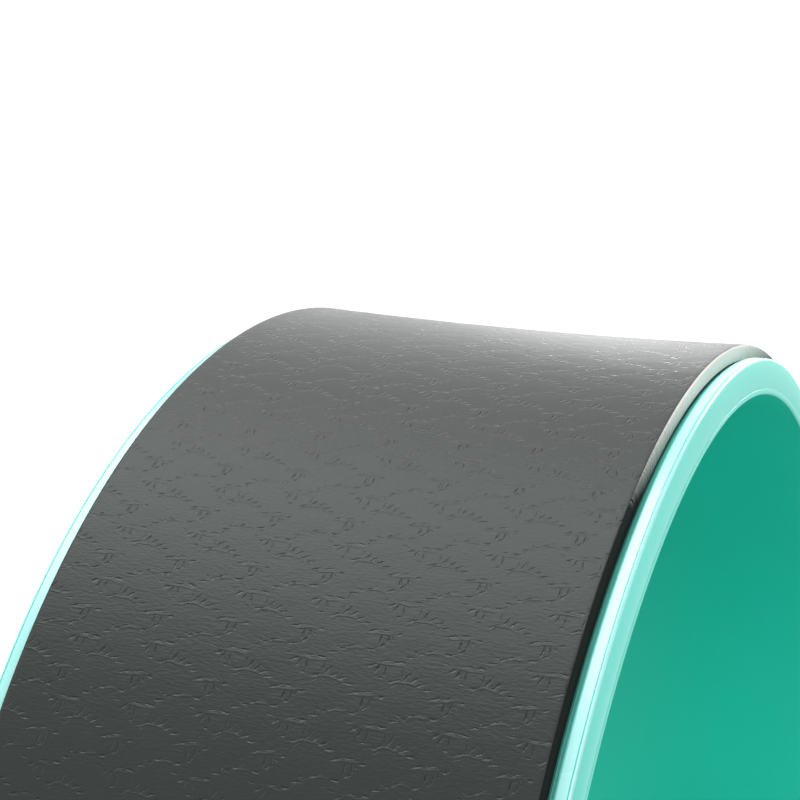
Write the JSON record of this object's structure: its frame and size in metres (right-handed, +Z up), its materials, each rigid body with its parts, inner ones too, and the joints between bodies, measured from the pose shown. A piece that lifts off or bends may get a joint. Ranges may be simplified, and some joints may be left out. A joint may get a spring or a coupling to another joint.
{
  "type": "yoga wheel",
  "caption": "Upright hoop for back stretches and balance: a hollow plastic wall with a moulded rim along each edge and an embossed foam grip mat wrapped round it.",
  "frame": {"origin": "centre of the hoop, on its axis and half way along it", "axes": "+Y along the hoop's axis, which it rolls about; +Z up as it stands on its mat"},
  "size_m": [0.33, 0.13, 0.3297],
  "materials": {
    "liner_plastic": "smooth satin ABS, teal",
    "drum_plastic": "plain ABS, teal",
    "core_plastic": "plain moulded plastic, pale grey",
    "rim_plastic": "smooth satin moulded ABS, teal",
    "tape_film": "adhesive film",
    "mat_foam": "embossed charcoal foam, matt with a soft sheen"
  },
  "bodies": {
    "root": {"inner_liner": "liner_plastic", "outer_drum": "drum_plastic", "core_strip_1": "core_plastic", "core_strip_2": "core_plastic", "core_strip_3": "core_plastic", "core_strip_4": "core_plastic", "rim_ring_left": "rim_plastic", "rim_ring_right": "rim_plastic", "mat_tape": "tape_film", "grip_mat": "mat_foam"}
  },
  "joints": []
}
